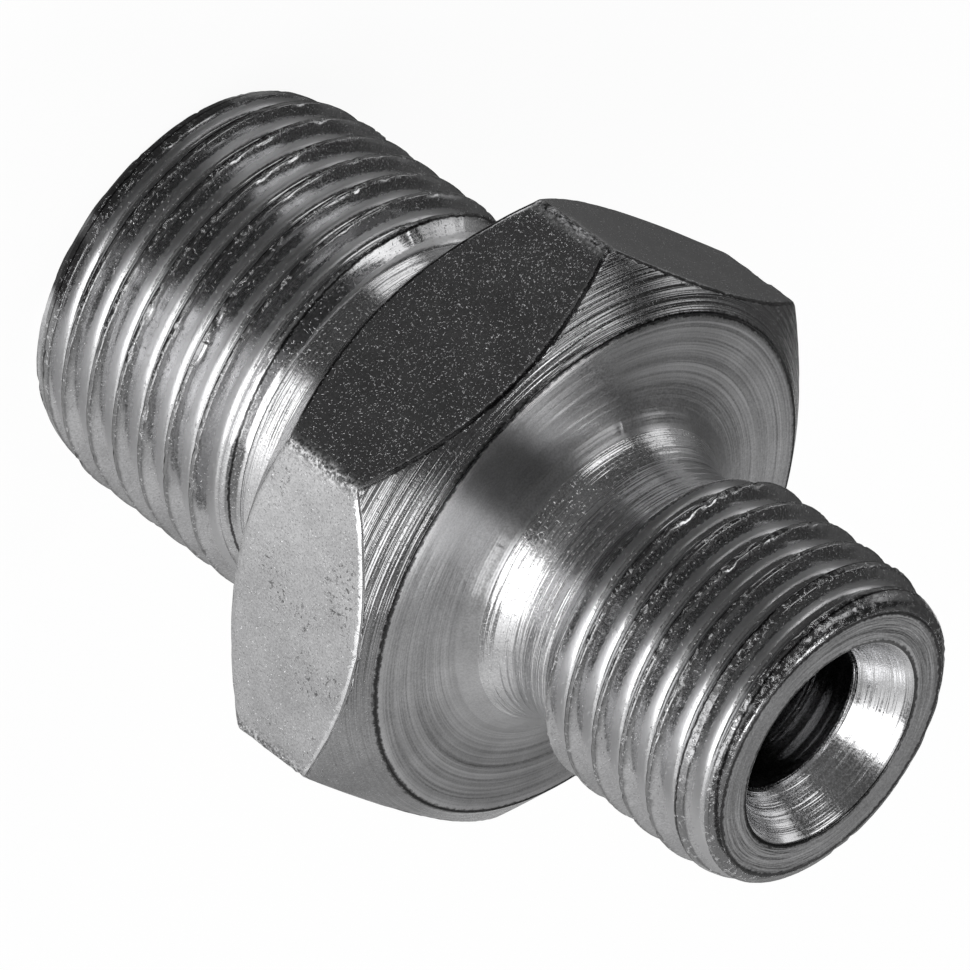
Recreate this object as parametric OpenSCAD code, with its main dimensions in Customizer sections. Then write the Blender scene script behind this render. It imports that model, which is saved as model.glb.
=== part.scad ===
// Reducing hose connector: one turned and milled steel piece, threaded at both ends.
// It stands on the end face of its large thread. Its axis is Z, and sizes are in millimetres.

/* [Hexagon] */
// Width across the flats of the spanner hexagon
hex_width = 24; // [20:0.1:32]
// Length of the hexagon along the axis
hex_length = 8; // [5:0.1:20]
// Diameter of the turned face inside the hexagon's corner chamfer
hex_face_d = 22.5; // [20:0.1:23.6]
// Slope of the corner chamfer, measured from the end face, in degrees
hex_chamfer_angle = 39; // [15:1:50]

/* [Large end] */
// Outside diameter over the thread crests
large_thread_d = 17.9; // [15:0.1:19]
// Length from the hexagon to the large end face
large_end_length = 15.2; // [11:0.1:30]
// Length of the plain neck between thread and hexagon, with its fillet
large_neck_length = 3.5; // [2.2:0.1:5]
// Radius of the fillet between neck and hexagon
large_fillet_r = 2; // [0.5:0.1:2.2]
// Height that the lead-in taper takes off the crests
large_taper_height = 0.515; // [0.1:0.005:0.8]
// Radius of the rounded edge of the end face
large_edge_r = 0.5; // [0.2:0.05:0.9]
// Mouth diameter of the seat cone in the large end face
large_seat_d = 13; // [8:0.1:14]
// Angle about the axis at which the thread groove leaves the large end face
large_start_angle = 343; // [0:1:359]

/* [Small end] */
// Outside diameter over the thread crests
small_thread_d = 13.9; // [12.4:0.1:17]
// Length from the hexagon to the small end face
small_end_length = 13.5; // [10:0.1:30]
// Length of the plain neck between thread and hexagon, with its fillet
small_neck_length = 3.8; // [2.7:0.1:6]
// Radius of the fillet between neck and hexagon
small_fillet_r = 2.5; // [0.5:0.1:2.7]
// Height that the lead-in taper takes off the crests
small_taper_height = 0.42; // [0.1:0.005:0.7]
// Radius of the rounded edge of the end face
small_edge_r = 0.65; // [0.2:0.05:0.9]
// Mouth diameter of the seat cone in the small end face
small_seat_d = 9; // [8:0.1:10.4]
// Angle about the axis at which the thread groove leaves the small end face
small_start_angle = 211; // [0:1:359]

/* [Threads] */
// Distance from one crest to the next on both threads
thread_pitch = 1.5; // [1:0.05:2]
// Included angle between the flanks of the thread groove
flank_angle = 60; // [55:1:60]
// Depth of the groove as a share of the pitch
depth_ratio = 0.61; // [0.5:0.01:0.61]
// Width of the crest left between two turns, as a share of the pitch
crest_ratio = 0.125; // [0.1:0.005:0.2]
// Depth of both necks below the root of their thread
neck_relief = 0.185; // [0.05:0.005:0.6]
// Slope of the taper that leads into each thread, from the axis, in degrees
lead_angle = 14; // [8:1:30]

/* [Flow passage] */
// Diameter of the bore that runs from end to end
bore_d = 6.5; // [3:0.1:7.5]
// Included angle of the seat cones
seat_angle = 60; // [50:1:90]

/* [Hidden] */
$fn = 96;
hex_sides = 6;
groove_steps = 36;
groove_start_turns = 0.5;
groove_convexity = 20;
overlap = 0.05;
groove_lift = 0.1;

hex_top_z = large_end_length + hex_length;
total_length = hex_top_z + small_end_length;
hex_corner_r = hex_width / 2 / cos(180 / hex_sides);
groove_depth = thread_pitch * depth_ratio;
half_flank = flank_angle / 2;
large_neck_d = large_thread_d - 2 * (groove_depth + neck_relief);
small_neck_d = small_thread_d - 2 * (groove_depth + neck_relief);
large_face_d = large_thread_d - 2 * (large_taper_height + large_edge_r * cos(lead_angle));
small_face_d = small_thread_d - 2 * (small_taper_height + small_edge_r * cos(lead_angle));

// Outline of a threaded end, standing on the hexagon: neck, run-out, crests, lead-in and edge.
module end_outline(thread_r, face_r, edge_r, neck_r, end_length, neck_length, fillet_r) {
    runout = thread_r - neck_r;
    lead_r = face_r + edge_r * cos(lead_angle);
    lead_z = end_length - edge_r * (1 - sin(lead_angle));
    lead_length = (thread_r - lead_r) / tan(lead_angle);
    polygon([
        [0, -overlap],
        [neck_r, -overlap],
        [neck_r, neck_length],
        [thread_r, neck_length + runout],
        [thread_r, lead_z - lead_length],
        [lead_r, lead_z],
        [face_r, end_length - edge_r],
        [face_r, end_length],
        [0, end_length]
    ]);
    translate([face_r, end_length - edge_r])
        circle(r = edge_r);
    difference() {
        translate([neck_r - overlap, -overlap])
            square([fillet_r + overlap, fillet_r + overlap]);
        translate([neck_r + fillet_r, fillet_r])
            circle(r = fillet_r);
    }
}

// Points of the thread groove's section at one place on the helix, in the plane through the axis.
function groove_section(thread_r) =
    let (
        outer_half = thread_pitch * (1 - crest_ratio) / 2 + groove_lift * tan(half_flank),
        root_half = thread_pitch * (1 - crest_ratio) / 2 - groove_depth * tan(half_flank)
    )
    [
        [thread_r + groove_lift, -outer_half],
        [thread_r - groove_depth, -root_half],
        [thread_r - groove_depth, root_half],
        [thread_r + groove_lift, outer_half]
    ];

// Solid that fills the helical groove of one thread, from above the end face down into the neck.
// It starts part of a turn above the face, which it crosses at start_angle.
module thread_groove(thread_r, end_length, neck_length, start_angle) {
    section = groove_section(thread_r);
    corners = len(section);
    turns = (end_length - neck_length) / thread_pitch + groove_start_turns;
    rings = ceil(turns * groove_steps);
    points = [
        for (i = [0 : rings])
            let (
                turn = groove_start_turns - i / groove_steps,
                angle = start_angle + 360 * turn,
                z = end_length + thread_pitch * turn
            )
            for (p = section) [p[0] * cos(angle), p[0] * sin(angle), z + p[1]]
    ];
    sides = [
        for (i = [0 : rings - 1])
            for (j = [0 : corners - 1])
                let (
                    a = i * corners + j,
                    b = i * corners + (j + 1) % corners
                )
                for (face = [[a, b, a + corners], [b, b + corners, a + corners]]) face
    ];
    first_cap = [for (j = [corners - 1 : -1 : 0]) j];
    last_cap = [for (j = [0 : corners - 1]) rings * corners + j];
    polyhedron(points = points, faces = concat([first_cap], sides, [last_cap]), convexity = groove_convexity);
}

// One threaded end as it leaves the lathe, standing on the hexagon's face.
module threaded_end(
    thread_d, face_d, edge_r, neck_d, end_length, neck_length, fillet_r, start_angle
) {
    difference() {
        rotate_extrude()
            end_outline(thread_d / 2, face_d / 2, edge_r, neck_d / 2, end_length, neck_length,
                fillet_r);
        thread_groove(thread_d / 2, end_length, neck_length, start_angle);
    }
}

// Hexagon with its corners turned off by a cone at both faces.
module hexagon() {
    chamfer_height = (hex_corner_r + overlap - hex_face_d / 2) * tan(hex_chamfer_angle);
    intersection() {
        cylinder(h = hex_length, r = hex_corner_r, $fn = hex_sides);
        rotate_extrude()
            polygon([
                [0, 0],
                [hex_face_d / 2, 0],
                [hex_corner_r + overlap, chamfer_height],
                [hex_corner_r + overlap, hex_length - chamfer_height],
                [hex_face_d / 2, hex_length],
                [0, hex_length]
            ]);
    }
}

// Cone that a mating nose seals in, with its mouth on the face at z = 0 and its point upwards.
module seat_cone(mouth_d) {
    slope = tan(seat_angle / 2);
    seat_depth = (mouth_d - bore_d) / 2 / slope;
    translate([0, 0, -overlap])
        cylinder(h = seat_depth + overlap, r1 = mouth_d / 2 + overlap * slope, r2 = bore_d / 2);
}

// Bore from end to end with a seat cone at each face.
module flow_passage() {
    translate([0, 0, -overlap])
        cylinder(h = total_length + 2 * overlap, d = bore_d);
    seat_cone(large_seat_d);
    translate([0, 0, total_length])
        mirror([0, 0, 1])
            seat_cone(small_seat_d);
}

// The whole connector, turned from one bar.
module connector_body() {
    color("silver")
        difference() {
            union() {
                translate([0, 0, large_end_length])
                    rotate([180, 0, 0])
                        threaded_end(large_thread_d, large_face_d, large_edge_r, large_neck_d,
                            large_end_length, large_neck_length, large_fillet_r,
                            -large_start_angle);
                translate([0, 0, large_end_length])
                    hexagon();
                translate([0, 0, hex_top_z])
                    threaded_end(small_thread_d, small_face_d, small_edge_r, small_neck_d,
                        small_end_length, small_neck_length, small_fillet_r, small_start_angle);
            }
            flow_passage();
        }
}

connector_body();
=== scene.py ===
import math

import bmesh
import bpy
import numpy as np
from mathutils import Matrix, Vector, noise


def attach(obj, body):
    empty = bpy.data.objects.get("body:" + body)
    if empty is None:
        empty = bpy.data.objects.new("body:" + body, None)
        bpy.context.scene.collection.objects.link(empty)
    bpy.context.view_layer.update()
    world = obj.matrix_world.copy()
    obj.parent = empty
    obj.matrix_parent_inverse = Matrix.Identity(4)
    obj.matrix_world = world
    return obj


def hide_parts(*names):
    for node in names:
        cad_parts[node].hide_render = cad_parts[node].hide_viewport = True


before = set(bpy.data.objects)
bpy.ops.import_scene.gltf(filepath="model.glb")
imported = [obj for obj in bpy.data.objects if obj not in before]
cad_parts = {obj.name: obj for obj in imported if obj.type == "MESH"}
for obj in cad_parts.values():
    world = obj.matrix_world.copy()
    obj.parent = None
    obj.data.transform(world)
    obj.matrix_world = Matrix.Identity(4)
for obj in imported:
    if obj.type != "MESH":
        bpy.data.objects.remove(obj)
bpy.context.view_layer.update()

# Sizes in millimetres, as in the part's source
MM = 0.001
HEX_SIDES = 6
SIDE_DEGREES = 360 / HEX_SIDES
SIDE_ANGLE = math.radians(SIDE_DEGREES)
HEX_WIDTH = 24.0
HEX_R = HEX_WIDTH / 2 / math.cos(SIDE_ANGLE / 2)
FACE_R = 11.25
CHAMFER_SLOPE = math.tan(math.radians(39))
REAR_Z = 15.2
FRONT_Z = 23.2
TOP_Z = 36.7
PITCH = 1.5
CREST_HALF = 0.125 * PITCH / 2
FLANK_SLOPE = math.tan(math.radians(30))
LEAD_ANGLE = math.radians(14)
SEAT_SLOPE = math.tan(math.radians(30))
BORE_R = 3.25
SMALL_SEAT_R = 4.5
LARGE_SEAT_R = 6.5

# The two threaded ends. phase is the height of a crest's middle at azimuth 0.
SMALL = dict(crest=6.95, neck=5.85, fillet=2.5, neck_z=27.0, face_z=TOP_Z, face_r=5.9, edge=0.65,
             phase=0.57)
LARGE = dict(crest=8.95, neck=7.85, fillet=2.0, neck_z=11.7, face_z=0.0, face_r=7.95, edge=0.5,
             phase=0.82)

# Finer shapes, in millimetres: rounded roots, corners and rims, and a ring of burr
ROOT_R = 0.28
ROOT_HALF = ROOT_R * math.cos(math.radians(30))
CORNER_R = 0.32
SHARP_R = 0.001
BEVEL = 0.09
LIP = 0.05
EDGE_BLEND = 0.05
OUTLINE_BLEND = 0.03
THREAD_START = 0.003
BURR_R = 6.96
BURR_WIDTH = 0.07
BURR_HEIGHT = 0.05

# Depth of the wear in millimetres, as (larger dents, finer grain)
CREST_WEAR = (0.085, 0.022)
FLANK_WEAR = (0.018, 0.008)
CORNER_WEAR = (0.10, 0.03)
RIM_WEAR = (0.07, 0.02)
FLAT_WAVE = 0.012
# Distance in the noise from one seed's place to the next one's
SEED_STEP = (17.3, 5.1, 9.7)

# Columns of the mesh: the first one's angle and the angles beside a corner, in degrees, and the
# columns along a side. Vertices closer than TOUCHING become one.
SEAM_ANGLE = 180
CORNER_COLUMNS = [0.0, 0.3, 0.7, 1.25]
SIDE_COLUMNS = 36
BISECTIONS = 30
TOUCHING = 0.00002

# Parts of the surface, in the order of the body's materials
THREAD, NECK, FACE, CONE, FLAT, RIM, SEAT, BORE = range(8)


def column_angles():
    """Angles of the mesh's columns, closer together at the hexagon's six corners."""
    last = CORNER_COLUMNS[-1]
    inner = np.linspace(last, SIDE_DEGREES - last, SIDE_COLUMNS)[1:-1]
    before_next = [SIDE_DEGREES - a for a in reversed(CORNER_COLUMNS[1:])]
    one_side = np.array(CORNER_COLUMNS + list(inner) + before_next)
    sides = [one_side + SIDE_DEGREES * k for k in range(HEX_SIDES)]
    return np.radians(SEAM_ANGLE + np.concatenate(sides))


ANGLES = column_angles()
COLUMNS = len(ANGLES)


def between(a, b, shares):
    """Values that lie at the given shares of the way from a to b."""
    return [a + (b - a) * f for f in shares]


def smooth_step(x, low, high):
    """0 up to low and 1 from high on, with a smooth rise between."""
    t = np.clip((x - low) / (high - low), 0, 1)
    return t * t * (3 - 2 * t)


def soft_min(a, b, k):
    """The smaller of a and b, rounded where they differ by less than k."""
    h = np.clip(0.5 + 0.5 * (b - a) / k, 0, 1)
    return b + (a - b) * h - k * h * (1 - h)


def from_corner(angle):
    """Angle from the hexagon's nearest corner."""
    return (angle + SIDE_ANGLE / 2) % SIDE_ANGLE - SIDE_ANGLE / 2


def hex_radius(angle, edge_r):
    """Distance from the axis to the hexagon, its corner edges rounded by edge_r."""
    a = from_corner(angle)
    flat = HEX_WIDTH / 2 / np.cos(SIDE_ANGLE / 2 - np.abs(a))
    centre = HEX_R - edge_r / math.cos(SIDE_ANGLE / 2)
    under = edge_r ** 2 - (centre * np.sin(a)) ** 2
    arc = centre * np.cos(a) + np.sqrt(np.maximum(under, 0))
    tangent = edge_r * math.tan(SIDE_ANGLE / 2) * math.cos(SIDE_ANGLE / 2) / HEX_R
    return np.where(np.abs(a) < tangent, np.minimum(arc, flat), flat)


def chamfer_drop(hr):
    """Axial distance from a face of the hexagon to the rim of its flat at radius hr."""
    return (hr - FACE_R) * CHAMFER_SLOPE


def thread_radius(h, crest):
    """Radius of the thread at axial distance h from the middle of its crest."""
    h = np.abs(h)
    flank = crest - (h - CREST_HALF) / FLANK_SLOPE
    from_root = np.clip(PITCH / 2 - h, -ROOT_HALF, ROOT_HALF)
    centre = crest - (PITCH / 2 - CREST_HALF) / FLANK_SLOPE + 2 * ROOT_R
    rounded = centre - np.sqrt(ROOT_R ** 2 - from_root ** 2)
    flank = np.where(from_root < ROOT_HALF, rounded, flank)
    return soft_min(np.full_like(h, crest), flank, EDGE_BLEND)


def end_radius(z, e):
    """Radius of a threaded end without its groove: neck, run-out, crest and lead-in."""
    ramp = e["neck"] + np.abs(z - e["neck_z"])
    from_face = np.abs(z - e["face_z"])
    edge = e["edge"]
    tangent = edge * (1 - math.sin(LEAD_ANGLE))
    lead = e["face_r"] + edge * math.cos(LEAD_ANGLE) + (from_face - tangent) * math.tan(LEAD_ANGLE)
    across = np.clip(edge - from_face, 0, edge)
    lead = np.where(from_face < tangent, e["face_r"] + np.sqrt(edge ** 2 - across ** 2), lead)
    return soft_min(soft_min(ramp, lead, EDGE_BLEND), np.full_like(z, e["crest"]), EDGE_BLEND)


def land_edge(crest_z, e, side):
    """Axial distance from the crest's middle to where the flank leaves the turned outline."""
    lo = np.full_like(crest_z, CREST_HALF)
    hi = np.full_like(crest_z, PITCH / 2)

    def above_outline(h):
        sharp = e["crest"] - (h - CREST_HALF) / FLANK_SLOPE
        return sharp - end_radius(crest_z + side * h, e) > 0

    closed = ~above_outline(lo)
    for _ in range(BISECTIONS):
        mid = (lo + hi) / 2
        above = above_outline(mid)
        lo = np.where(above, mid, lo)
        hi = np.where(above, hi, mid)
    return np.where(closed, CREST_HALF, hi)


def row_offsets(lo, hi):
    """Axial places of one turn's rows, from the root below its crest to the root above it.
    lo and hi are the distances from the crest's middle to its two edges."""
    middle = PITCH / 2
    lo_root = np.maximum(lo, middle - ROOT_HALF)
    hi_root = np.maximum(hi, middle - ROOT_HALF)
    rows = [np.full(COLUMNS, -middle)]
    rows += [-h for h in between(lo_root, middle, (0.7, 0.35, 0))]
    rows += [-h for h in between(lo_root, lo, (0.35, 0.7, 0.93, 1))]
    rows += between(-lo, hi, (0.2, 0.5, 0.8, 1))
    rows += between(hi_root, hi, (0.93, 0.7, 0.35, 0))
    rows += between(hi_root, middle, (0.35, 0.7))
    return rows


class Grid:
    """Vertices and faces of a closed surface made of rings and helical rows."""

    def __init__(self):
        self.r = []
        self.z = []
        self.across = []
        self.zone = []
        self.outline = []
        self.count = 0
        self.faces = []
        self.face_zones = []
        self.first = None
        self.last = None
        self.mean_r = 0.0
        self.mean_z = 0.0
        self.arc = 0.0

    def add(self, r, z, across, zone, outline=0.0):
        """One row of vertices. across is the distance across the tool's marks, and outline the
        radius of the turned shape that a thread is cut into."""
        self.r.append(r)
        self.z.append(z)
        self.across.append(np.broadcast_to(across, r.shape))
        self.zone.append(np.full(r.shape, zone))
        self.outline.append(np.broadcast_to(outline, r.shape))
        ids = np.arange(self.count, self.count + len(r))
        self.count += len(r)
        return ids

    def quads(self, a, b, c, d, zone):
        """Faces between four runs of vertices, left out where fewer than three differ."""
        for corners in zip(a, b, c, d):
            face = list(dict.fromkeys(int(v) for v in corners))
            if len(face) > 2:
                self.faces.append(face)
                self.face_zones.append(zone)

    def join_rings(self, ids, zone):
        """Faces from the last ring to the ring of these vertices."""
        self.quads(self.last, np.roll(self.last, -1), np.roll(ids, -1), ids, zone)

    def ring(self, r, z, zone):
        """One closed ring, joined to the one before it."""
        r = np.broadcast_to(np.asarray(r, float), (COLUMNS,)).copy()
        z = np.broadcast_to(np.asarray(z, float), (COLUMNS,)).copy()
        if self.last is not None:
            self.arc += math.hypot(float(r.mean() - self.mean_r), float(z.mean() - self.mean_z))
        self.mean_r = float(r.mean())
        self.mean_z = float(z.mean())
        across = r * math.hypot(1, CHAMFER_SLOPE) if zone == CONE else self.arc
        ids = self.add(r, z, across, zone)
        if self.last is None:
            self.first = ids
        else:
            self.join_rings(ids, zone)
        self.last = ids

    def close(self, zone):
        """Faces from the last ring back to the first."""
        self.join_rings(self.first, zone)

    def helix(self, e, z_lo, z_hi, zone):
        """Helical rows from z_lo, the height of the last ring, up to z_hi."""
        turns_below = 3
        turns = int(math.ceil((z_hi - z_lo) / PITCH)) + turns_below + 1
        base = e["phase"] + PITCH * (math.floor((z_lo - e["phase"]) / PITCH) - turns_below)
        rows = []
        heights = []
        for turn in range(turns):
            crest_z = base + PITCH * (turn + ANGLES / (2 * math.pi))
            offsets = row_offsets(land_edge(crest_z, e, -1), land_edge(crest_z, e, +1))
            for h in offsets:
                z = np.clip(crest_z + h, z_lo, z_hi)
                outline = end_radius(z, e)
                r = soft_min(thread_radius(z - crest_z, e["crest"]), outline, OUTLINE_BLEND)
                rows.append(self.add(r, z, z - crest_z + PITCH * turn, zone, outline))
                heights.append(z)
        ids = self.end_rows(np.array(rows), np.array(heights), z_lo, z_hi)
        self.join_rows(ids, len(offsets), zone)
        self.mean_r = e["neck"]
        self.mean_z = z_hi

    def end_rows(self, ids, heights, z_lo, z_hi):
        """Rows under z_lo fall together with the last ring, rows over z_hi with one new ring."""
        near = 1e-9
        ids = np.where(heights <= z_lo + near, self.last[None, :], ids)
        over = heights >= z_hi - near
        top = ids[np.argmax(over, axis=0), np.arange(COLUMNS)]
        self.last = top
        return np.where(over, top[None, :], ids)

    def join_rows(self, ids, per_turn, zone):
        """Faces between the rows of a helix, each row going on in the one a turn later."""
        final = len(ids) - 1

        def next_column(k):
            return np.append(ids[k][1:], ids[min(k + per_turn, final)][0])

        for k in range(final):
            self.quads(ids[k], next_column(k), next_column(k + 1), ids[k + 1], zone)


def arc_points(centre_r, centre_z, radius, start, end, steps):
    """Points of an arc in the plane through the axis, from start to end in degrees."""
    turn = np.radians(np.linspace(start, end, steps + 1))
    return [(centre_r + radius * math.cos(a), centre_z + radius * math.sin(a)) for a in turn]


def build_large_end(g):
    """The large end face, its thread, the neck and the hexagon's rear face."""
    rim_radii = (LARGE_SEAT_R + 0.05, 6.9, 7.4, 7.85, LARGE["face_r"])
    neck_heights = (11.76, 11.9, 12.4)
    face_radii = (10.2, 10.6, 11.0, 11.15)
    fillet = LARGE["fillet"]
    centre = (LARGE["neck"] + fillet, REAR_Z - fillet)
    g.ring(LARGE_SEAT_R - 0.02, 0.06, RIM)
    for r in rim_radii:
        g.ring(r, 0.0, RIM)
    g.ring(float(end_radius(np.array([THREAD_START]), LARGE)[0]), THREAD_START, RIM)
    g.helix(LARGE, THREAD_START, LARGE["neck_z"], THREAD)
    for z in neck_heights:
        g.ring(LARGE["neck"], z, NECK)
    for r, z in arc_points(*centre, fillet, start=180, end=90, steps=16):
        g.ring(r, z, NECK)
    for r in face_radii:
        g.ring(r, REAR_Z, FACE)


def build_hexagon(g):
    """The two chamfers and the flats between them, from the rear face to the front face."""
    hr = hex_radius(ANGLES, CORNER_R)
    drop = chamfer_drop(hr)
    rear_rim = REAR_Z + drop
    front_rim = FRONT_Z - drop
    # Rings of the bevel between chamfer and flat: inset, distance onto the flat, part
    bevel_rings = (
        (BEVEL, -BEVEL * CHAMFER_SLOPE, CONE),
        (BEVEL * 0.25, BEVEL * 0.3, FLAT),
        (0, BEVEL * 1.4, FLAT),
    )
    rear_shares = np.linspace(0, 1, 7)[1:-1]
    flat_shares = np.linspace(0, 1, 14)
    front_shares = np.linspace(1, 0, 13)[1:-1]
    g.ring(FACE_R - 0.04, REAR_Z + LIP, FACE)
    g.ring(FACE_R + 0.02, REAR_Z + LIP / 2, FACE)
    for f in rear_shares:
        g.ring(FACE_R + (hr - FACE_R) * f, REAR_Z + drop * f, CONE)
    for inset, along, zone in bevel_rings:
        g.ring(hr - inset, rear_rim + along, zone)
    for z in between(rear_rim + BEVEL * 3, front_rim - BEVEL * 3, flat_shares):
        g.ring(hr, z, FLAT)
    for inset, along, zone in reversed(bevel_rings):
        g.ring(hr - inset, front_rim - along, zone)
    for f in front_shares:
        g.ring(FACE_R + (hr - FACE_R) * f, FRONT_Z - drop * f, CONE)
    g.ring(FACE_R + 0.02, FRONT_Z - LIP / 2, CONE)
    g.ring(FACE_R - 0.04, FRONT_Z - LIP, FACE)


def build_small_end(g):
    """The hexagon's front face, the fillet and neck, the thread and the small end face."""
    face_radii = (11.15, 10.9, 10.4, 9.8, 9.2, 8.7)
    neck_heights = (26.1, 26.6, 26.94, SMALL["neck_z"])
    rim_radii = (SMALL["face_r"], 5.5, 5.1, 4.8, 4.58)
    fillet = SMALL["fillet"]
    centre = (SMALL["neck"] + fillet, FRONT_Z + fillet)
    for r in face_radii:
        g.ring(r, FRONT_Z, FACE)
    for r, z in arc_points(*centre, fillet, start=270, end=225, steps=12):
        g.ring(r, z, FACE)
    for r, z in arc_points(*centre, fillet, start=225, end=180, steps=12)[1:]:
        g.ring(r, z, NECK)
    for z in neck_heights:
        g.ring(SMALL["neck"], z, NECK)
    g.helix(SMALL, SMALL["neck_z"], TOP_Z - THREAD_START, THREAD)
    for r in rim_radii:
        g.ring(r, TOP_Z, RIM)
    g.ring(SMALL_SEAT_R, TOP_Z - 0.04, RIM)


def build_passage(g):
    """The small seat, the bore and the large seat, down to the first ring."""
    small_depth = (SMALL_SEAT_R - BORE_R) / SEAT_SLOPE
    large_depth = (LARGE_SEAT_R - BORE_R) / SEAT_SLOPE
    step = 0.05
    small_shares = np.linspace(0.08, 1, 8)
    bore_shares = np.linspace(0, 1, 18)
    large_shares = np.linspace(0.01, 0.97, 9)
    for f in small_shares:
        g.ring(SMALL_SEAT_R + (BORE_R - SMALL_SEAT_R) * f, TOP_Z - small_depth * f, SEAT)
    for z in between(TOP_Z - small_depth - step, large_depth + step, bore_shares):
        g.ring(BORE_R, z, BORE)
    for f in large_shares:
        g.ring(BORE_R + (LARGE_SEAT_R - BORE_R) * f, large_depth * (1 - f), SEAT)
    g.close(RIM)


def noise_at(points, scale, seed):
    """Smooth noise from about -1 to 1 at each point, with scale features to the millimetre."""
    offset = Vector([seed * step for step in SEED_STEP])
    return np.array([noise.noise(Vector(p) * scale + offset) for p in points.tolist()])


def round_axis(r, angle, z):
    """Points from radius, angle and height."""
    return np.stack([r * np.cos(angle), r * np.sin(angle), z], axis=1)


def crest_share(r, z, zone, outline):
    """1 on the crests where the thread is deep or near an end face, 0 on flanks and elsewhere."""
    full_r = np.where(z > FRONT_Z, SMALL["crest"], LARGE["crest"])
    from_end = np.minimum(z, TOP_Z - z)
    full = smooth_step(outline, full_r - 0.6, full_r - 0.2)
    full = np.maximum(full, 1 - smooth_step(from_end, 1.2, 2.0))
    return np.where(zone == THREAD, smooth_step(r, outline - 0.09, outline - 0.01) * full, 0)


def rim_distance(hr, z):
    """Axial distance to the nearer rim of a flat, where a chamfer meets it."""
    drop = chamfer_drop(hr)
    return np.minimum(np.abs(z - REAR_Z - drop), np.abs(FRONT_Z - drop - z))


def worn(g):
    """Vertex positions, with nicked crests, beaten hexagon edges and a small burr, and the
    values at each vertex that the materials read."""
    r = np.concatenate(g.r)
    z = np.concatenate(g.z)
    angle = np.tile(ANGLES, len(g.r))
    zone = np.concatenate(g.zone)
    outline = np.concatenate(g.outline)
    points = round_axis(r, angle, z)
    coarse = noise_at(points, scale=0.9, seed=1)
    fine = noise_at(points, scale=3.1, seed=2)
    tiny = noise_at(points, scale=6.5, seed=3)
    # Threads: dented, torn crests and a slow wave on the flanks
    at_crest = crest_share(r, z, zone, outline)
    dents = smooth_step(fine + 0.5 * coarse, 0.22, 0.75)
    r = r - at_crest * (CREST_WEAR[0] * dents + CREST_WEAR[1] * np.abs(tiny))
    on_flank = np.where(zone == THREAD, 1 - at_crest, 0)
    grain = tiny * smooth_step(r, outline - 0.9, outline - 0.5)
    r = r - on_flank * (FLANK_WEAR[0] * np.maximum(fine, 0) + FLANK_WEAR[1] * grain)
    # Hexagon: beaten corner edges and nicks along the rims of the flats
    hr = hex_radius(angle, CORNER_R)
    from_rim = rim_distance(hr, z)
    on_hexagon = (zone == FLAT) | (zone == CONE)
    corner = np.where(zone == FLAT, 1 - smooth_step(np.abs(from_corner(angle)), 0.012, 0.035), 0)
    rim = np.where(on_hexagon, 1 - smooth_step(from_rim, 0.0, 0.14), 0)
    rim = rim * smooth_step(hr, FACE_R + 0.3, FACE_R + 0.6)
    hits = smooth_step(fine + 0.3 * coarse, 0.15, 0.6)
    grain = tiny + 0.5
    corner_depth = corner * (CORNER_WEAR[0] * hits + CORNER_WEAR[1] * grain)
    rim_depth = rim * (RIM_WEAR[0] * hits + RIM_WEAR[1] * grain)
    r = r - corner_depth - rim_depth
    r = r - np.where(zone == FLAT, 1 - corner, 0) * FLAT_WAVE * (coarse + 1)
    # Front face: a ring of burr where the fillet was cut
    ring_gap = np.where((zone == FACE) & (z > FRONT_Z), np.abs(r - BURR_R), 1)
    burr = np.exp(-(ring_gap / BURR_WIDTH) ** 2) * smooth_step(tiny + fine, -0.4, 0.8)
    z = np.clip(z + BURR_HEIGHT * burr, 0.0, TOP_Z)
    inside_hex = np.minimum(r, hex_radius(angle, SHARP_R))
    edge_line = 1 - smooth_step(from_rim, 0.05, 0.16)
    edge_line = edge_line * smooth_step(hr, FACE_R + 0.2, FACE_R + 0.5)
    return round_axis(inside_hex, angle, z), {
        "across": np.concatenate(g.across),
        "crest": at_crest,
        "corner": corner,
        "edge": np.where(on_hexagon, edge_line * (1 - corner) + 0.55 * corner, 0),
        "rim": np.where(zone == FLAT, 1 - smooth_step(from_rim, 0.08, 0.45), 0),
    }


def weld(mesh):
    """One vertex where a thread runs out and the vertices of its rows fall together."""
    welded = bmesh.new()
    welded.from_mesh(mesh)
    bmesh.ops.remove_doubles(welded, verts=welded.verts, dist=TOUCHING * MM)
    welded.to_mesh(mesh)
    welded.free()


def build_mesh(name):
    """The whole body as one closed mesh."""
    g = Grid()
    build_large_end(g)
    build_hexagon(g)
    build_small_end(g)
    build_passage(g)
    points, attributes = worn(g)
    used = np.unique(np.concatenate([np.array(face) for face in g.faces]))
    index = np.full(g.count, -1)
    index[used] = np.arange(len(used))
    mesh = bpy.data.meshes.new(name)
    mesh.from_pydata((points[used] * MM).tolist(), [], [index[face].tolist() for face in g.faces])
    mesh.polygons.foreach_set("material_index", g.face_zones)
    mesh.polygons.foreach_set("use_smooth", [True] * len(g.faces))
    for label, values in attributes.items():
        layer = mesh.attributes.new(label, "FLOAT", "POINT")
        layer.data.foreach_set("value", values[used])
    weld(mesh)
    return add_object(name, mesh)


def add_object(name, data):
    """New object in the scene."""
    obj = bpy.data.objects.new(name, data)
    bpy.context.scene.collection.objects.link(obj)
    return obj


# What a spread becomes where it falls instead of rising
FALLING = (1.0, 0.0)


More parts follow.
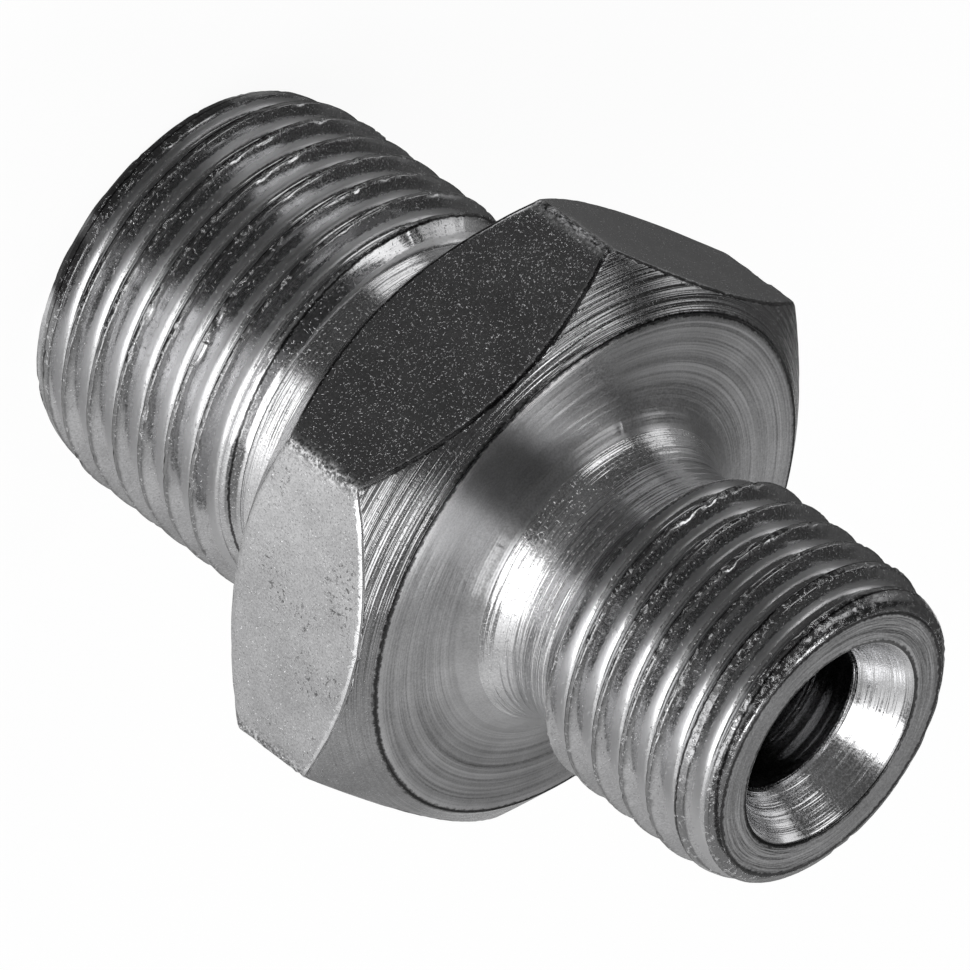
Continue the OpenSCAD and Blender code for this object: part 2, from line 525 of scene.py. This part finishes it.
class Shader:
    """Short calls that add nodes to one material or world."""

    def __init__(self, owner):
        owner.use_nodes = True
        self.tree = owner.node_tree

    def link(self, value, socket):
        self.tree.links.new(value, socket)

    def node(self, kind, inputs=None, **settings):
        n = self.tree.nodes.new(kind)
        for key, value in settings.items():
            setattr(n, key, value)
        for key, value in (inputs or {}).items():
            if isinstance(value, bpy.types.NodeSocket):
                self.link(value, n.inputs[key])
            else:
                n.inputs[key].default_value = value
        return n

    def math(self, operation, a, b=0.0, c=0.0, clamp=False):
        inputs = {0: a, 1: b, 2: c}
        return self.node("ShaderNodeMath", inputs, operation=operation, use_clamp=clamp).outputs[0]

    def plus(self, a, b):
        return self.math("ADD", a, b)

    def minus(self, a, b):
        return self.math("SUBTRACT", a, b)

    def times(self, a, b):
        return self.math("MULTIPLY", a, b)

    def larger(self, a, b):
        return self.math("MAXIMUM", a, b)

    def absolute(self, a):
        return self.math("ABSOLUTE", a)

    def mix(self, factor, a, b):
        """a where factor is 0 and b where it is 1."""
        return self.plus(self.times(self.minus(b, a), factor), a)

    def spread(self, value, span, out=(0.0, 1.0)):
        """value over its span becomes out, held beyond both ends."""
        inputs = {"Value": value, "From Min": span[0], "From Max": span[1]}
        inputs.update({"To Min": out[0], "To Max": out[1]})
        return self.node("ShaderNodeMapRange", inputs, interpolation_type="SMOOTHSTEP").outputs[0]

    def noise(self, vector, scale, detail=2.0, rough=0.5):
        inputs = {"Vector": vector, "Scale": scale, "Detail": detail, "Roughness": rough}
        return self.node("ShaderNodeTexNoise", inputs).outputs[0]

    def attribute(self, name):
        return self.node("ShaderNodeAttribute", attribute_name=name).outputs["Fac"]

    def place(self, kind):
        return self.node("ShaderNodeTexCoord").outputs[kind]

    def parts(self, vector):
        return self.node("ShaderNodeSeparateXYZ", {0: vector}).outputs

    def from_axis(self, x, y):
        return self.math("SQRT", self.plus(self.times(x, x), self.times(y, y)))


# Factors on a steel's base tone, in its patches and in its frosting
PATCH_TONE = (0.88, 1.06)
FROST_TONE = (0.86, 1.14)
# Share of the tone that a dark line, real or painted shade, takes off, and the tone of a painted
# highlight on nicks
LINE_DEPTH = 0.85
NICK_HIGHLIGHT_TONE = 0.95
# Factor on the blue, and the depth of the relief in millimetres
COOL = 1.012
BUMP_DEPTH = 0.02


class Steel(Shader):
    """Plated steel. Its tone, roughness, height, dark line, partly painted shade, and painted
    highlight on nicks are built up in calls, and finish links them. Scales of noise are
    features to the millimetre."""

    def __init__(self, name, base, gloss, matt):
        self.material = bpy.data.materials.new(name)
        super().__init__(self.material)
        self.base = base
        in_metres = self.place("Object")
        scaled = self.node("ShaderNodeVectorMath", {0: in_metres, "Scale": 1 / MM}, operation="SCALE")
        self.in_metres = self.parts(in_metres)
        self.in_mm = scaled.outputs[0]
        self.x, self.y, self.z = self.parts(self.in_mm)
        self.ragged = self.minus(self.noise(self.in_mm, scale=4.0, detail=3.0, rough=0.7), 0.5)
        patch = self.noise(self.in_mm, scale=0.55, detail=3.0, rough=0.6)
        frost = self.noise(self.in_mm, scale=11.0, detail=2.0, rough=0.7)
        tone = self.spread(patch, (0.3, 0.72), (base * PATCH_TONE[0], base * PATCH_TONE[1]))
        self.tone = self.times(tone, self.spread(frost, (0.3, 0.7), FROST_TONE))
        self.roughness = self.spread(frost, (0.35, 0.65), (gloss, matt))
        self.height = 0.0
        self.line = 0.0
        self.nick_highlight = 0.0

    def along_marks(self, across_scale, along_scale):
        """Point whose first axis runs across the tool's marks."""
        parts = {0: self.times(self.attribute("across"), across_scale)}
        for k in (1, 2):
            parts[k] = self.times(self.in_metres[k - 1], along_scale / MM)
        return self.node("ShaderNodeCombineXYZ", parts).outputs[0]

    def lay_marks(self, lines, line_scale, wander, grain, grain_scale):
        """Tool marks, which waver by wander along their way, and a grain between them."""
        coarse_point = self.along_marks(line_scale * 0.35, wander * 0.4)
        medium_point = self.along_marks(line_scale, wander)
        coarse = self.noise(coarse_point, scale=1.0, detail=1.0)
        medium = self.noise(medium_point, scale=1.0, detail=2.0, rough=0.6)
        grains = self.noise(self.in_mm, scale=grain_scale, detail=2.0, rough=0.6)
        marks = self.plus(medium, self.times(coarse, 1.4))
        self.height = self.plus(self.times(marks, lines), self.times(grains, grain))

    def lay_edge_line(self, rings):
        """Dark, ragged line round the given radii, and painted shade along the rims of the right
        flats.
        """
        edge = self.plus(self.attribute("edge"), self.times(self.ragged, 1.8))
        # Painted shade: the rim line is drawn on the right flats only, the darker side.
        shaded_right_side = self.spread(self.y, (-1.5, -0.3), FALLING)
        self.line = self.times(self.spread(edge, (0.5, 0.8)), shaded_right_side)
        reach = self.from_axis(self.x, self.y)
        for ring in rings:
            gap = self.plus(self.minus(reach, ring), self.times(self.ragged, 0.3))
            ring_line = self.spread(self.absolute(gap), (0.05, 0.15), FALLING)
            self.line = self.larger(self.line, ring_line)

    def lay_specks(self, specks, grain_scale):
        """Small raised grains."""
        dots = self.noise(self.in_mm, scale=grain_scale * 1.5, detail=1.0)
        self.height = self.plus(self.height, self.times(self.spread(dots, (0.645, 0.73)), specks))

    def finish(self, fan):
        """The material, with everything linked to its shader."""
        shader = self.tree.nodes["Principled BSDF"]
        # The dark lines, real and painted shade, take off tone, and the painted nick highlights are
        # mixed in.
        tone = self.times(self.tone, self.minus(1.0, self.times(self.line, LINE_DEPTH)))
        tone = self.mix(self.nick_highlight, tone, NICK_HIGHLIGHT_TONE)
        colour = self.node("ShaderNodeCombineColor", {0: tone, 1: tone, 2: self.times(tone, COOL)})
        relief = {"Strength": 1.0, "Distance": BUMP_DEPTH * MM, "Height": self.height}
        bump = self.node("ShaderNodeBump", relief)
        self.link(colour.outputs[0], shader.inputs["Base Color"])
        self.link(self.roughness, shader.inputs["Roughness"])
        self.link(bump.outputs[0], shader.inputs["Normal"])
        shader.inputs["Metallic"].default_value = 1.0
        if fan:
            tangent = self.node("ShaderNodeTangent", direction_type="RADIAL", axis="Z")
            shader.inputs["Anisotropic"].default_value = fan
            shader.inputs["Anisotropic Rotation"].default_value = 0.25
            self.link(tangent.outputs[0], shader.inputs["Tangent"])
        return self.material


def lay_glint_spots(s):
    """Painted glints: bright, matt spots in the colour, so that they show under any light."""
    spots = s.spread(s.noise(s.in_mm, scale=12.0, detail=1.0), (0.69, 0.76))
    s.roughness = s.mix(spots, s.roughness, 0.6)
    s.tone = s.mix(spots, s.tone, 0.85)


def lay_beaten_corners(s):
    """Dull corners of broken dark and light."""
    corner = s.attribute("corner")
    beaten = s.spread(s.noise(s.in_mm, scale=7.0, detail=3.0, rough=0.7), (0.4, 0.62), (0.25, 1.3))
    s.roughness = s.mix(corner, s.roughness, 0.5)
    s.tone = s.times(s.tone, s.mix(corner, 1.0, beaten))


def lay_nick_highlights(s):
    """Nicks along the front rims of the left flats, painted bright as highlights there only."""
    nicks = s.spread(s.plus(s.attribute("rim"), s.times(s.ragged, 2.2)), (0.7, 0.9))
    at_front = s.times(s.spread(s.y, (3.0, 9.0), (1.0, 0.3)), s.spread(s.z, (19.0, 20.0)))
    on_left = s.spread(s.y, (0.1, 0.4))
    # Painted highlight: only the nicks on the left flats are made bright.
    s.nick_highlight = s.times(nicks, s.times(at_front, on_left))


def lay_pits(s):
    """Clusters of small dark pits in the left flats."""
    clusters = s.spread(s.noise(s.in_mm, scale=0.42, detail=1.0), (0.52, 0.64))
    clusters = s.times(s.spread(s.y, (0.0, 2.0)), clusters)
    pits = s.spread(s.noise(s.in_mm, scale=4.6, detail=4.0, rough=0.7), (0.56, 0.64))
    pits = s.times(clusters, pits)
    s.tone = s.times(s.tone, s.spread(pits, (0.0, 1.0), (1.0, 0.35)))
    s.height = s.minus(s.height, s.times(pits, 0.8))


def lay_flat(s):
    lay_glint_spots(s)
    lay_beaten_corners(s)
    lay_nick_highlights(s)
    lay_pits(s)


def lay_grooves(s):
    """Satin band on the flank above each crest; painted shade as a dark line under the crest."""
    off_crest = s.plus(s.attribute("across"), s.times(s.ragged, 0.12))
    h = s.math("WRAP", off_crest, PITCH / 2, -PITCH / 2)
    satin = s.times(s.spread(h, (0.36, 0.42)), s.spread(h, (0.56, 0.64), FALLING))
    s.roughness = s.mix(satin, s.roughness, 0.34)
    s.tone = s.mix(satin, s.tone, s.base * 1.05)
    # Painted shade: a dark line at the lower edge of each crest, where the crest hides the groove
    # behind it.
    s.line = s.larger(s.line, s.spread(s.absolute(s.plus(h, 0.1)), (0.02, 0.055), FALLING))


def lay_torn_crests(s):
    """Torn crests of broken dark and light, in patches."""
    torn = s.spread(s.noise(s.in_mm, scale=4.2, detail=4.0, rough=0.75), (0.52, 0.64))
    torn = s.times(torn, s.spread(s.noise(s.in_mm, scale=0.8), (0.4, 0.6), (0.25, 1.0)))
    on_crest = s.spread(s.attribute("crest"), (0.2, 0.9))
    s.tone = s.times(s.tone, s.mix(on_crest, 1.0, s.spread(torn, (0.0, 0.7), (0.45, 1.2))))
    s.height = s.plus(s.height, s.times(torn, on_crest))


def lay_thread(s):
    lay_grooves(s)
    lay_torn_crests(s)


def metal(name, base, gloss, matt, lines, line_scale=9.0, wander=0.5, grain=0.3, grain_scale=6.0,
          specks=0.0, rings=(), fan=0.0, detail=None):
    """Plated steel with tool marks. Roughness runs from gloss to matt in a fine grain. Lines,
    grain and specks are strengths of the relief. fan draws a highlight out across marks that
    run round the axis, rings are the radii of dark rings, and detail adds what only one part
    of the surface has."""
    s = Steel(name, base, gloss, matt)
    s.lay_marks(lines, line_scale, wander, grain, grain_scale)
    s.lay_edge_line(rings)
    if specks:
        s.lay_specks(specks, grain_scale)
    if detail:
        detail(s)
    return s.finish(fan)


def body_materials():
    """One steel for each part of the surface, in the order of the parts."""
    return [
        metal("thread_steel", base=0.52, gloss=0.09, matt=0.2, lines=0.25, line_scale=7.0,
              wander=0.35, grain=0.0, specks=0.5, detail=lay_thread),
        metal("neck_steel", base=0.64, gloss=0.14, matt=0.26, lines=2.8, line_scale=5.0,
              wander=0.15, grain=0.2, specks=0.7, fan=0.6),
        metal("turned_face", base=0.56, gloss=0.28, matt=0.4, lines=4.5, line_scale=2.6,
              wander=0.04, grain=0.1, rings=(FACE_R,), fan=0.94),
        # Painted shade: the chamfer's tone is set far below the other steels to darken it.
        metal("chamfer_steel_painted_dark", base=0.33, gloss=0.12, matt=0.2, lines=4.0, line_scale=6.5,
              wander=0.05, grain=0.2, specks=0.8, rings=(FACE_R,)),
        metal("hexagon_flat", base=0.48, gloss=0.08, matt=0.17, lines=0.0, grain=0.25,
              grain_scale=7.0, specks=1.5, detail=lay_flat),
        metal("end_rim", base=0.5, gloss=0.14, matt=0.26, lines=2.0, line_scale=4.5,
              wander=0.3, rings=(4.56, 5.86)),
        # Painted light: the seat's tone is set above the other steels to brighten its reflections.
        metal("seat_steel_painted_light", base=0.68, gloss=0.12, matt=0.3, lines=3.0, line_scale=4.0,
              wander=0.1, grain=0.2, fan=0.5),
        metal("bore_steel", base=0.5, gloss=0.08, matt=0.18, lines=14.0, line_scale=1.1,
              wander=0.04),
    ]


def make_body():
    """The connector, in place of the CAD body."""
    body = build_mesh("body")
    for steel in body_materials():
        body.data.materials.append(steel)
    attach(body, "root")
    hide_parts("connector_body")


# Camera: its axis against the part's, in degrees, the hexagon's front face in its coordinates,
# in millimetres, and the scale at that face
CAMERA_TILT = 31.782
CAMERA_TURN = 36.392
CAMERA_ROLL = 102.167
CAMERA_AZIMUTH = math.radians(-12.17)
FACE_IN_CAMERA = (4.016, 3.113, 432.279)
PIXELS_PER_MM = 25.706
IMAGE_WIDTH = 970
SENSOR_WIDTH = 36


def unit(v):
    return v / np.linalg.norm(v)


def make_camera():
    """Camera at the photograph's angle."""
    tilt = math.radians(CAMERA_TILT)
    turn = math.radians(CAMERA_TURN)
    roll = math.radians(CAMERA_ROLL)
    ahead = math.cos(tilt)
    axis = np.array([math.cos(turn) * ahead, math.sin(turn) * ahead, -math.sin(tilt)])
    u = unit(np.cross(axis, [0, 0, 1.0]))
    v = np.cross(axis, u)
    x_axis = math.cos(roll) * u + math.sin(roll) * v
    y_axis = np.cross(axis, x_axis)
    # Rows of camera coordinates, from the part's axes and from the point (0, 0, FRONT_Z)
    rows = np.array([x_axis, y_axis, axis])
    origin = rows @ -np.array(FACE_IN_CAMERA) + np.array([0, 0, FRONT_Z])
    right, down, forward = rows.T
    matrix = [[right[i], -down[i], -forward[i], origin[i] * MM] for i in range(3)]
    cam = bpy.data.cameras.new("camera")
    cam.sensor_width = SENSOR_WIDTH
    cam.lens = FACE_IN_CAMERA[2] * PIXELS_PER_MM / IMAGE_WIDTH * SENSOR_WIDTH
    cam.clip_start = 0.01
    cam.clip_end = 10
    obj = add_object("camera", cam)
    obj.matrix_world = Matrix(matrix + [[0, 0, 0, 1]])
    bpy.context.scene.camera = obj


# Softboxes: azimuth from the camera's and elevation in degrees, width and height in metres,
# and brightness
SOFTBOXES = {
    "key": (40, 18, 0.45, 0.7, 2.3),
    "side": (-112, 15, 0.2, 0.3, 0.8),
    "over_left": (160, 69, 0.1, 0.1, 7.0),
    "over_right": (-149, 63, 0.1, 0.1, 6.5),
    "corner_right": (-80, 43, 0.32, 0.18, 1.8),
}
# Distance of every softbox in metres, and the point that it faces
LAMP_DISTANCE = 0.6
LAMP_AIM = Vector((0, 0, 0.02))


def direction(azimuth, elevation):
    """Unit vector at an azimuth from the camera's and an elevation, both in degrees."""
    a = CAMERA_AZIMUTH + math.radians(azimuth)
    e = math.radians(elevation)
    return Vector((math.cos(a) * math.cos(e), math.sin(a) * math.cos(e), math.sin(e)))


def softbox(name, azimuth, elevation, width, height, level):
    """Area lamp that faces the part and is as bright as level."""
    lamp = bpy.data.lights.new(name, "AREA")
    lamp.shape = "RECTANGLE"
    lamp.size = width
    lamp.size_y = height
    lamp.energy = level * math.pi * width * height
    towards = direction(azimuth, elevation)
    turn = (-towards).to_track_quat("-Z", "Y").to_matrix().to_4x4()
    place = Matrix.Translation(towards * LAMP_DISTANCE + LAMP_AIM)
    add_object(name, lamp).matrix_world = place @ turn


# Brightness of the room round the part, at azimuths from the camera's
ROOM = [
    (-180, 0.34), (-168, 0.08), (-145, 0.12), (-125, 0.35), (-107, 0.25), (-98, 0.08), (4, 0.07),
    (10, 0.3), (17, 0.3), (23, 0.1), (55, 0.12), (63, 1.0), (75, 1.0), (92, 0.75), (120, 0.75),
    (138, 0.5), (162, 0.55), (175, 0.45), (180, 0.34),
]
# Brightness of the room above a third of the way up, and straight above the part
SKY = [
    (-180, 0.34), (-168, 0.06), (-95, 0.06), (-75, 0.12), (-50, 0.12), (0, 0.08), (12, 0.15),
    (22, 0.9), (50, 0.9), (62, 0.2), (95, 0.3), (112, 0.5), (125, 0.75), (140, 0.6), (162, 0.58),
    (175, 0.45), (180, 0.34),
]
ROOM_TOP = 0.1
# Added brightness of the room's front wall, seen above the table, brightest beside the key lamp
FRONT = [
    (-60, 0.0), (-45, 0.05), (-20, 0.08), (0, 0.12), (14, 0.3), (22, 0.6), (58, 0.6), (72, 0.3),
    (90, 0.0),
]
# Added brightness of the cards on the table under the two softboxes, and their reach from the
# axis in millimetres, each end with the half width of its fade
TABLE = [
    (-98, 0.0), (-90, 1.4), (-60, 1.4), (-54, 0.0), (9, 0.0), (18, 2.2), (54, 2.2), (66, 0.2),
    (80, 0.0),
]
TABLE_NEAR = (23.0, 1.0)
TABLE_FAR = (50.0, 1.5)
# Radius at which the part mirrors the table
MIRROR_R = 8.4
# Heights between which one brightness passes into the next, as sines of the elevation
FRONT_FROM = (-0.36, -0.26)
FRONT_UP_TO = (0.6, 0.75)
SKY_FROM = (0.3, 0.5)
TOP_FROM = (0.9, 0.98)
# The white sheet: its colour, and the strength and share of the white that is seen in it
WHITE = (1, 1, 1, 1)
PAPER = (0.9, 0.9, 0.9, 1)
GLOW = 1.04
GLOW_SHARE = 0.9


def azimuth_of(s, x, y):
    """Azimuth from the camera's, in radians from -pi to pi."""
    azimuth = s.math("ARCTAN2", y, x)
    return s.math("WRAP", s.minus(azimuth, CAMERA_AZIMUTH), math.pi, -math.pi)


def azimuth_ramp(s, azimuth, stops):
    """Brightness at an azimuth, from stops in degrees."""
    share = s.math("DIVIDE", s.plus(azimuth, math.pi), 2 * math.pi, clamp=True)
    ramp = s.node("ShaderNodeValToRGB", {0: share})
    elements = ramp.color_ramp.elements
    elements.remove(elements[1])
    elements[0].position = 0.0
    elements[0].color = (stops[0][1],) * 3 + (1,)
    for angle, level in stops:
        element = elements.new((angle + 180) / 360)
        element.color = (level, level, level, 1)
    return ramp.outputs[0]


def make_world():
    """Room whose brightness changes with the azimuth and the height."""
    world = bpy.data.worlds.new("world")
    s = Shader(world)
    x, y, height = s.parts(s.place("Generated"))
    azimuth = azimuth_of(s, x, y)
    above_table = s.times(s.spread(height, FRONT_FROM), s.spread(height, FRONT_UP_TO, FALLING))
    ahead = s.times(azimuth_ramp(s, azimuth, FRONT), above_table)
    around = s.plus(azimuth_ramp(s, azimuth, ROOM), ahead)
    around = s.mix(s.spread(height, SKY_FROM), around, azimuth_ramp(s, azimuth, SKY))
    level = s.mix(s.spread(height, TOP_FROM), around, ROOM_TOP)
    background = s.tree.nodes["Background"]
    background.inputs[0].default_value = WHITE
    s.link(level, background.inputs[1])
    bpy.context.scene.world = world


def flat_object(name, points, faces, material):
    """Level object from points in millimetres."""
    mesh = bpy.data.meshes.new(name)
    mesh.from_pydata([[c * MM for c in point] for point in points], [], faces)
    mesh.materials.append(material)
    return add_object(name, mesh)


def surface_output(s, shader):
    """The shader takes the place of the one that a new material has."""
    s.tree.nodes.remove(s.tree.nodes["Principled BSDF"])
    s.link(shader.outputs[0], s.tree.nodes["Material Output"].inputs[0])


def white_sheet():
    """Paper that keeps a shadow, with the white background in what the camera and metal see."""
    material = bpy.data.materials.new("white_sheet")
    s = Shader(material)
    path = s.node("ShaderNodeLightPath").outputs
    reflected = s.larger(path["Is Glossy Ray"], path["Is Transmission Ray"])
    seen = s.times(s.larger(path["Is Camera Ray"], reflected), GLOW_SHARE)
    glow = s.node("ShaderNodeEmission", {0: WHITE, 1: GLOW})
    paper = s.node("ShaderNodeBsdfDiffuse", {0: PAPER})
    shaders = {0: seen, 1: paper.outputs[0], 2: glow.outputs[0]}
    surface_output(s, s.node("ShaderNodeMixShader", shaders))
    return material


def make_floor():
    """White sheet under and behind the part, ending just in front of it."""
    ahead, behind, side, height = 25.0, 110.0, 34.0, -0.02
    forward = np.array([math.cos(CAMERA_AZIMUTH), math.sin(CAMERA_AZIMUTH), 0])
    left = np.array([-forward[1], forward[0], 0])
    level = np.array([0, 0, height])
    places = ((ahead, -side), (ahead, side), (-behind, side), (-behind, -side))
    corners = [forward * x + left * y + level for x, y in places]
    sheet = flat_object("floor", corners, [(0, 1, 2, 3)], white_sheet())


def card_brightness():
    """Glow of the table's cards: the room's brightness, and bright bands under the softboxes."""
    material = bpy.data.materials.new("card_brightness")
    s = Shader(material)
    x, y, _ = s.parts(s.place("Object"))
    reach = s.from_axis(x, y)
    # The part mirrors the table from its own surface, not from its axis
    twice = s.times(reach, 2.0)
    seen_from_surface = s.math("DIVIDE", twice, s.minus(twice, MIRROR_R * MM))
    azimuth = s.times(azimuth_of(s, x, y), seen_from_surface)
    near, near_fade = TABLE_NEAR
    far, far_fade = TABLE_FAR
    begins = s.spread(reach, ((near - near_fade) * MM, (near + near_fade) * MM))
    ends = s.spread(reach, ((far - far_fade) * MM, (far + far_fade) * MM), FALLING)
    bright = s.times(azimuth_ramp(s, azimuth, TABLE), s.times(begins, ends))
    level = s.plus(azimuth_ramp(s, azimuth, ROOM), bright)
    surface_output(s, s.node("ShaderNodeEmission", {1: level}))
    return material


def make_table_cards():
    """Ring of cards on the sheet that the camera doesn't see, dark in front and bright under
    the softboxes."""
    inner, outer, lift, sides = 7.9, 80.0, 0.02, 96
    turn = np.linspace(0, 2 * math.pi, sides, endpoint=False)
    points = [(r * math.cos(a), r * math.sin(a), lift) for r in (inner, outer) for a in turn]
    quads = [(k, (k + 1) % sides, sides + (k + 1) % sides, sides + k) for k in range(sides)]
    cards = flat_object("table_cards", points, quads, card_brightness())
    cards.visible_camera = False
    cards.visible_diffuse = False
    cards.visible_shadow = False


make_body()
make_camera()
make_world()
make_floor()
make_table_cards()
for name, setting in SOFTBOXES.items():
    softbox(name, *setting)
bpy.context.scene.view_settings.view_transform = "Standard"
